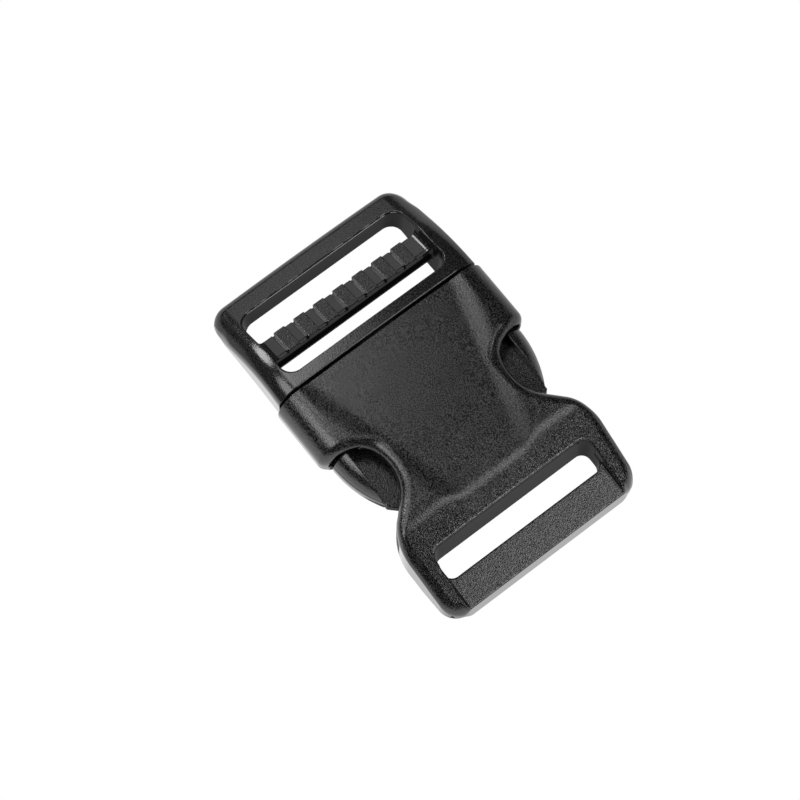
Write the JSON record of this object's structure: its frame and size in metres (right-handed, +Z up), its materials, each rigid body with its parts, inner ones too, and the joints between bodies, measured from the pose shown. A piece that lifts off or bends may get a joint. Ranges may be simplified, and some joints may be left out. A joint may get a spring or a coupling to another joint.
{
  "type": "side release buckle",
  "caption": "Fastened side release buckle for flat webbing: a plug with a ladder bar and spring arms, locked in a socket with a strap slot.",
  "frame": {"origin": "middle of the buckle's length and width, on the surface that it lies on", "axes": "+X along the strap from the plug's free end to the socket's strap end, +Z up through the crown, +Y across the webbing"},
  "size_m": [0.0554, 0.0348, 0.0099],
  "materials": {
    "plug_plastic": "black moulded acetal with a fine satin grain",
    "socket_plastic": "black moulded acetal with a spark-eroded grain on the top panel"
  },
  "bodies": {
    "root": {"plug": "plug_plastic", "socket": "socket_plastic"}
  },
  "joints": []
}
